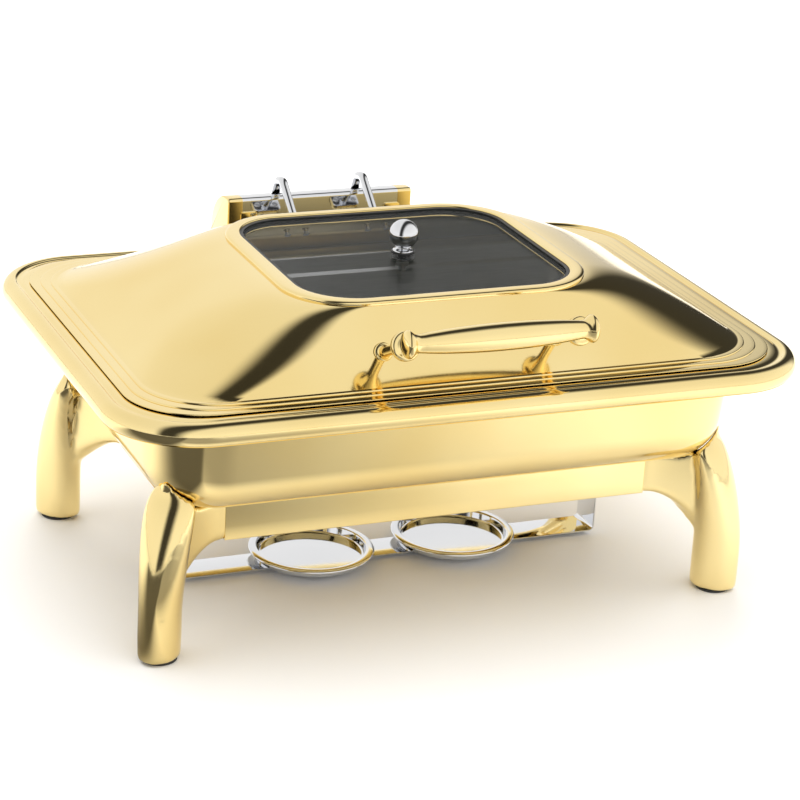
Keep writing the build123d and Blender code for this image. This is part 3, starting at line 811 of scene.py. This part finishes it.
def build_arms():
    rod_r, flare, flare_length = 4.0, 1.6, 12
    path, left = evenly(arm_path(), 60)
    radii = [rod_r if d > flare_length else rod_r + flare * ((flare_length - d) / flare_length) ** 2 for d in left]
    for side, word in ((-1, "left"), (1, "right")):
        rod = tube_along(path, radii, 24)
        hub = lathe("hub", [(5.05, -5), (8.5, -5), (9, -4.5), (9, 4.5), (8.5, 5), (5.05, 5)], 48)
        moved(hub, aim((0, SHAFT_Y, SHAFT_Z), (1, 0, 0), (0, 0, 1)))
        pad = rounded_slab(26, 17, 4, 3.2, 0.9)
        moved(pad, aim((0, PAD_Y, PAD_Z), PAD_UP))
        arm = joined("lid_arm_" + word, [rod, hub, pad])
        moved(arm, Matrix.Translation((side * ARM_X, 0, 0)))
        piece("lid_arm_" + word, arm, "lid", "chrome", ["arm_" + word], sharp=40)


# ---------------------------------------------------------------- stand
def build_legs(sizes):
    """The frame's legs, with their joins melted into one cast skin."""
    for word in ("front_left", "front_right", "rear_left", "rear_right"):
        mesh = merged(frame["nodes"]["leg_" + word].data.copy(), 1e-6)
        cast = modified(mesh, ("REMESH", {"mode": 'VOXEL', "voxel_size": sizes.leg_voxel}),
                        ("SMOOTH", {"factor": 0.5, "iterations": 14}))
        cast.name = "cast_leg_" + word
        cast.transform(Matrix.Scale(1 / MM, 4))
        piece("cast_leg_" + word, cast, "stand", "leg_gold", ["leg_" + word], sharp=0)


def box_tube(length, tall, wide, wall, r):
    """Square tube along X centred on the origin, with rounded edges and open ends."""
    def row(x, grow, ease=0.0):
        points = outline(wide / 2 + grow - ease, tall / 2 + grow - ease, max(r + grow, 0.3), 0, 0, 6, 3)
        return [Vector((x, p.x, p.y)) for p in points]
    end = length / 2
    rows = [row(-end + 0.4, 0), row(end - 0.4, 0), row(end - 0.1, 0, 0.1), row(end, 0, 0.4),
            row(end, -wall), row(-end, -wall), row(-end, 0, 0.4), row(-end + 0.1, 0, 0.1)]
    return skin("tube", rows, closed=True)


def build_rails():
    turn = Matrix.Rotation(pi / 2, 4, 'Z')
    for word, matrix, length in (
            ("front", Matrix.Translation((0, -119, RAIL_Z)), 384),
            ("rear", Matrix.Translation((0, 119, RAIL_Z)), 384),
            ("left", Matrix.Translation((-209, 0, RAIL_Z)) @ turn, 184),
            ("right", Matrix.Translation((209, 0, RAIL_Z)) @ turn, 184)):
        tube = moved(box_tube(length, 37, 12, 1.5, 1.2), matrix)
        piece("stand_rail_" + word, tube, "stand", "gold", ["rail_" + word], sharp=35)


def build_burner_rack():
    end, low, top, half = 202.25, 4.25, 114, 0.75
    line = rounded([(-end, top, 0), (-end, low, 5), (end, low, 5), (end, top, 0)], 9)
    rows = []
    for y, ease in ((-17, 0.35), (-16.7, 0.08), (-16.3, 0), (16.3, 0), (16.7, 0.08), (17, 0.35)):
        rows.append([Vector((x, y + FUEL_Y, z)) for x, z in inset_line(line, half - ease)])
    piece("burner_rack_strip", skin("burner_rack_strip", rows), "stand", "chrome", ["burner_strip"], sharp=40)
    lip = [(0, 5.0), (47.6, 5.0), (48.4, 5.3), (48.8, 6.2), (49.0, 10.5), (49.5, 11.9), (50.6, 12.4),
           (54.0, 12.2), (55.0, 11.8), (55.55, 11.0), (55.9, 11.4), (56, 12.2), (55.6, 13.0), (54.8, 13.45),
           (53, 13.6), (49.8, 13.9), (48.6, 13.5), (48.0, 12.4), (47.5, 7.6), (46.9, 6.4), (46.0, 6.0),
           (44.6, 5.97), (43.8, 6.0), (0, 6.0)]
    for side, word in ((-1, "left"), (1, "right")):
        dish = moved(lathe("dish", lip, 112), Matrix.Translation((side * FUEL_X, FUEL_Y, 0)))
        piece("fuel_dish_" + word, dish, "stand", "chrome", ["fuel_plate_" + word], sharp=40)


def inset_line(line, half):
    """Closed section round an open (a, b) line, half a thickness to each side."""
    left, right = [], []
    for i, p in enumerate(line):
        a, b = Vector(line[max(i - 1, 0)]), Vector(line[min(i + 1, len(line) - 1)])
        along = (b - a).normalized()
        side = Vector((-along.y, along.x)) * half
        left.append((p[0] + side.x, p[1] + side.y))
        right.append((p[0] - side.x, p[1] - side.y))
    return left + right[::-1]


# ---------------------------------------------------------------- fixings
def screw_head(r, tall):
    """Pan head with a recess, standing on z = 0 and facing up."""
    floor = tall * (1 - 0.55)
    return lathe("head", [(0, 0), (r * 0.96, 0), (r, 0.12 * tall), (r, 0.45 * tall), (r * 0.9, 0.8 * tall),
                          (r * 0.72, tall), (r * 0.5, tall), (r * 0.5, floor), (0, floor)], 24)


def build_stand_fixings():
    places = []
    for sx in (-1, 1):
        for sy in (-1, 1):
            places.append(((sx * 182, sy * 113, RAIL_Z), (0, -sy, 0)))
            places.append(((sx * 203, sy * 82, RAIL_Z), (-sx, 0, 0)))
    scattered("rail_screw_heads", screw_head(3.8, 2), places, "stand", "steel", ["rail_screws"])
    places = [((s * 201.5, y, 104), (-s, 0, 0)) for s in (-1, 1) for y in (-13, 5)]
    scattered("rack_screw_heads", screw_head(3.8, 2), places, "stand", "steel", ["rack_screws"])
    pad = lathe("pad", [(0, 0.5), (3, 0.5), (3.4, 0), (6.2, 0), (6.6, 0.5), (8.4, 0.5), (8.8, 0), (11.4, 0),
                        (11.8, 0.5), (13.2, 0.5), (13.6, 0), (14.4, 0), (14.9, 0.5), (14.9, 1.6), (14.5, 2.2),
                        (4, 2.2), (4, 10), (0, 10)], 48)
    places = [((x, y, 0), (0, 0, 1)) for x in (-FOOT_X, FOOT_X) for y in (-FOOT_Y, FOOT_Y)]
    scattered("ribbed_foot_pads", pad, places, "stand", "black_rubber", ["foot_pads"])
    rivet = lathe("rivet", [(0, -2.25), (1.6, -2.2), (3.1, -2.0), (3.5, -1.6), (3.2, -1.25), (1.9, -1.2),
                            (1.9, 1.2), (0, 1.2)], 24)
    places = [((s * FUEL_X + dx, FUEL_Y, 4.75), (0, 0, 1)) for s in (-1, 1) for dx in (-14, 14)]
    scattered("dish_rivets", rivet, places, "stand", "steel", ["fuel_rivets"])


def build_lid_fixings():
    rivet = lathe("rivet", [(0, -5), (2.6, -4.9), (3, -4.6), (3, -4.0), (1.6, -4.0), (1.6, 3.15), (3, 3.2),
                            (2.9, 3.7), (2.2, 4.2), (1.1, 4.38), (0, 4.4)], 24)
    places = [((s * ARM_X + dx, PAD_Y, PAD_Z), PAD_UP) for s in (-1, 1) for dx in (-9, 9)]
    scattered("pad_rivets", rivet, places, "lid", "steel", ["arm_rivets"])
    bolt = lathe("bolt", [(0, 12.9), (1.45, 12.9), (1.5, 3.6), (2.6, 3.6), (2.6, 1.4), (2.2, 1.2), (1.5, 1.2),
                          (1.4, 0), (0, 0)], 6)
    places = [((x, 202.2, 220.0), (0, 0, 1)) for x in (-66, -22, 22, 66)]
    scattered("hinge_bolts", bolt, places, "pan", "steel", ["hinge_screws"])
    screw = lathe("screw", [(0, -9.8), (2.4, -9.8), (2.4, -10.9), (4.4, -11), (5, -10.4), (5, -8), (8, -8),
                            (8, -6.6), (2.5, -6.5), (2.5, 13.8), (0, 14)], 32)
    places = [((s * POST_X, POST_Y, POST_Z), POST_RISE) for s in (-1, 1)]
    scattered("handle_bolts", screw, places, "lid", "steel", ["handle_screws"])
    base = 225.8                               # top of the food pan's flange
    button = lathe("button", [(0, 0.05), (2.4, 0.05), (2.9, 0.3), (3, 1.0), (0, 1.0)], 24)
    places = [((x, y, base), (0, 0, 1)) for x, y in
              ((-200, -185), (200, -185), (-200, 185), (200, 185), (-272, 0), (272, 0))]
    scattered("lid_buttons", button, places, "lid", "silicone", ["lid_bumpers"])
    half, coil_r, per_turn, turns = 22, 8, 24, 11
    count = per_turn * turns
    coil = [(-half + 2 * half * k / count, SHAFT_Y + coil_r * cos(2 * pi * k / per_turn),
             SHAFT_Z + coil_r * sin(2 * pi * k / per_turn)) for k in range(count + 1)]
    swept("balance_spring", coil, 0.9, "pan", "steel", ["torsion_spring"], ring=10)


# ---------------------------------------------------------------- stage
def build_floor(looks):
    mesh = bpy.data.meshes.new("studio_floor")
    mesh.from_pydata([(-8, -8, 0), (8, -8, 0), (8, 8, 0), (-8, 8, 0)], [], [(0, 1, 2, 3)])
    floor = linked("studio_floor", mesh)

    def paper(graph):
        tone = ramp(graph, noise(graph, object_coords(graph), 0.7, 2), 0.3, 0.7)
        base = tuple(looks.floor)
        return {"Base Color": mix_colour(graph, tone, tuple(c * 0.97 for c in base), base)}
    mesh.materials.append(material("studio_floor", paper, Roughness=0.7))


def build_room(looks):
    """Two large soft walls, left-rear and right-front, with a dark gap between them over the dish."""
    world = bpy.data.worlds.new("studio_room")
    bpy.context.scene.world = world
    world.use_nodes = True
    graph = Graph(world.node_tree)
    facing = graph.add("ShaderNodeTexCoord", out="Generated")
    side = graph.add("ShaderNodeVectorMath", {"operation": 'DOT_PRODUCT'},
                     {0: facing, 1: (0.707, -0.707, 0.0)}, out="Value")
    height = graph.add("ShaderNodeSeparateXYZ", {}, {0: facing}, out="Z")
    left_wall = soft_step(graph, side, -0.10, -0.30)
    right_wall = soft_step(graph, side, 0.10, 0.42)
    height_fade = 1.0 - soft_step(graph, height, 0.0, 0.9) * 0.12
    tone = (left_wall * looks.left_wall + right_wall * looks.right_wall + looks.gap) * height_fade
    background = world.node_tree.nodes["Background"]
    world.node_tree.links.new(tone.socket, background.inputs["Strength"])
    background.inputs["Color"].default_value = (1, 0.99, 0.97, 1)


def build_painted_shade_card():
    """A dark card lying on the floor at the front left, which only reflections show: painted shade that darkens what
    the gold reflects of the floor in front of the pan and by the front left leg.
    """
    lift = 0.0006
    mesh = bpy.data.meshes.new("grey_cloth")
    mesh.from_pydata([(-2.2, -2.4, lift), (1.4, -2.4, lift), (1.4, 1.2, lift), (-2.2, 1.2, lift)], [],
                     [(0, 1, 2, 3)])
    shade_card = linked("grey_cloth", mesh)
    dark = bpy.data.materials.new("grey_cloth")
    dark.use_nodes = True
    dark.node_tree.nodes.clear()
    graph = Graph(dark.node_tree)
    at = object_coords(graph)
    x = graph.add("ShaderNodeSeparateXYZ", {}, {0: at}, out="X")
    y = graph.add("ShaderNodeSeparateXYZ", {}, {0: at}, out="Y")
    # painted shade in reflections: broad darkens the pan front's reflection, darker towards the left and the front
    ahead = soft_step(graph, y, -0.22, -0.38)
    # core: painted shade left of a slanted line through the front left leg, dark in the leg's reflection
    core = 1.0 - soft_step(graph, x + (y + 0.152) * -0.36 + 0.255, -0.05, 0.03)
    core = core * soft_step(graph, y, 0.1, -0.2)
    broad = (1.0 - soft_step(graph, x, -0.25, 0.36)) * ahead
    shade = graph.add("ShaderNodeMath", {"operation": 'MAXIMUM'}, {0: core * 0.92, 1: broad * 0.72})
    # near-black emission: the painted shade that the gold reflects
    shade_emission = graph.add("ShaderNodeEmission", {}, {"Color": (0.02, 0.017, 0.014, 1), "Strength": 1.0})
    clear = graph.add("ShaderNodeBsdfTransparent")
    mixed = graph.add("ShaderNodeMixShader", {}, {0: shade, 1: clear, 2: shade_emission})
    graph.add("ShaderNodeOutputMaterial", {}, {"Surface": mixed}, out=None)
    mesh.materials.append(dark)
    # hidden from camera, diffuse light and shadows, so only glossy rays see the painted shade
    shade_card.visible_camera = shade_card.visible_diffuse = shade_card.visible_shadow = shade_card.visible_transmission = False


def build_lamp(name, at, target, wide, tall, power):
    light = bpy.data.lights.new(name, 'AREA')
    light.shape, light.size, light.size_y, light.energy = 'RECTANGLE', wide, tall, power
    obj = linked(name, light)
    direction = Vector(at) - Vector(target)
    obj.rotation_euler = direction.to_track_quat('Z', 'Y').to_euler()
    obj.location = at
    obj.visible_glossy = False


def build_camera():
    camera = bpy.data.cameras.new("view")
    camera.sensor_width, camera.lens = 36.0, 121.0
    camera.clip_start, camera.clip_end = 0.05, 50
    azimuth, height, roll = radians(-23.49), radians(20.88), radians(3.32)
    centre, shift_right, shift_up, distance = Vector((0, 0, 0.150)), 0.00981, -0.00607, 2.3564
    back = Vector((sin(azimuth) * cos(height), -cos(azimuth) * cos(height), sin(height)))
    right = Vector((cos(azimuth), sin(azimuth), 0))
    up = back.cross(right)
    right, up = (cos(roll) * right + sin(roll) * up, -sin(roll) * right + cos(roll) * up)
    eye = linked("view", camera)
    eye.matrix_world = (Matrix.Translation(centre + shift_right * right + shift_up * up + distance * back)
                        @ Matrix((right, up, back)).transposed().to_4x4())
    bpy.context.scene.camera = eye


def build_stage(looks):
    build_floor(looks)
    build_room(looks)
    # dark card of painted shade, seen only in reflections
    build_painted_shade_card()
    build_lamp("overhead_softbox", (0.1, -0.2, 3.2), (0, 0, 0.0), 5.0, 5.0, 150)
    build_lamp("rear_softbox", (0.6, 3.4, 2.2), (0, 0.5, 0.0), 4.0, 2.0, 60)
    bpy.context.scene.view_settings.view_transform = 'Standard'
    build_camera()


# ---------------------------------------------------------------- add-on
def dress_frame():
    """Gives every frame node that stays in sight its finish."""
    for row in frame["record"]["subparts"]:
        obj = frame["nodes"][row["node"]]
        obj.data.materials.clear()
        obj.data.materials.append(FINISH[row["material_slot"]])


class DISH_OT_finishes(bpy.types.Operator):
    """Makes the finishes and dresses the frame"""
    bl_idname = "dish.finishes"
    bl_label = "Finishes"

    def execute(self, context):
        make_finishes(context.scene.dish_finishes)
        dress_frame()
        return {'FINISHED'}


class DISH_OT_pans(bpy.types.Operator):
    """Builds the water pan and the food pan"""
    bl_idname = "dish.pans"
    bl_label = "Pans"

    def execute(self, context):
        build_pans(context.scene.dish_sizes)
        return {'FINISHED'}


class DISH_OT_lid(bpy.types.Operator):
    """Builds the lid's dome, window trim and vent knob"""
    bl_idname = "dish.lid"
    bl_label = "Lid"

    def execute(self, context):
        build_lid_dome(context.scene.dish_sizes)
        build_vent(context.scene.dish_sizes)
        return {'FINISHED'}


class DISH_OT_handle(bpy.types.Operator):
    """Builds the grip and its two posts"""
    bl_idname = "dish.handle"
    bl_label = "Handle"

    def execute(self, context):
        build_handle()
        return {'FINISHED'}


class DISH_OT_hinge(bpy.types.Operator):
    """Builds the hinge cover, its caps and the lid's arms"""
    bl_idname = "dish.hinge"
    bl_label = "Hinge"

    def execute(self, context):
        build_hinge()
        build_arms()
        return {'FINISHED'}


class DISH_OT_stand(bpy.types.Operator):
    """Builds the legs, rails and burner rack"""
    bl_idname = "dish.stand"
    bl_label = "Stand"

    def execute(self, context):
        build_legs(context.scene.dish_sizes)
        build_rails()
        build_burner_rack()
        return {'FINISHED'}


class DISH_OT_fixings(bpy.types.Operator):
    """Sets the screws, rivets, pads and buttons"""
    bl_idname = "dish.fixings"
    bl_label = "Fixings"

    def execute(self, context):
        build_stand_fixings()
        build_lid_fixings()
        return {'FINISHED'}


class DISH_OT_stage(bpy.types.Operator):
    """Builds the floor, lights and camera"""
    bl_idname = "dish.stage"
    bl_label = "Stage"

    def execute(self, context):
        build_stage(context.scene.dish_finishes)
        return {'FINISHED'}


OPERATORS = (DISH_OT_finishes, DISH_OT_pans, DISH_OT_lid, DISH_OT_handle, DISH_OT_hinge, DISH_OT_stand,
             DISH_OT_fixings, DISH_OT_stage)


class DISH_PT_panel(bpy.types.Panel):
    bl_label = "Chafing Dish"
    bl_idname = "DISH_PT_panel"
    bl_space_type = 'VIEW_3D'
    bl_region_type = 'UI'
    bl_category = "Chafing Dish"

    def draw(self, context):
        layout = self.layout
        for group in (context.scene.dish_sizes, context.scene.dish_finishes):
            for name in group.bl_rna.properties.keys():
                if name not in ("rna_type", "name"):
                    layout.prop(group, name)
        for operator in OPERATORS:
            layout.operator(operator.bl_idname)


CLASSES = (DishSizes, DishFinishes) + OPERATORS + (DISH_PT_panel,)


def register():
    for cls in CLASSES:
        bpy.utils.register_class(cls)
    bpy.types.Scene.dish_sizes = bpy.props.PointerProperty(type=DishSizes)
    bpy.types.Scene.dish_finishes = bpy.props.PointerProperty(type=DishFinishes)


def unregister():
    del bpy.types.Scene.dish_finishes
    del bpy.types.Scene.dish_sizes
    for cls in reversed(CLASSES):
        bpy.utils.unregister_class(cls)


def main():
    register()
    for operator in OPERATORS:
        group, name = operator.bl_idname.split(".")
        getattr(getattr(bpy.ops, group), name)()


if __name__ == "__main__":
    main()
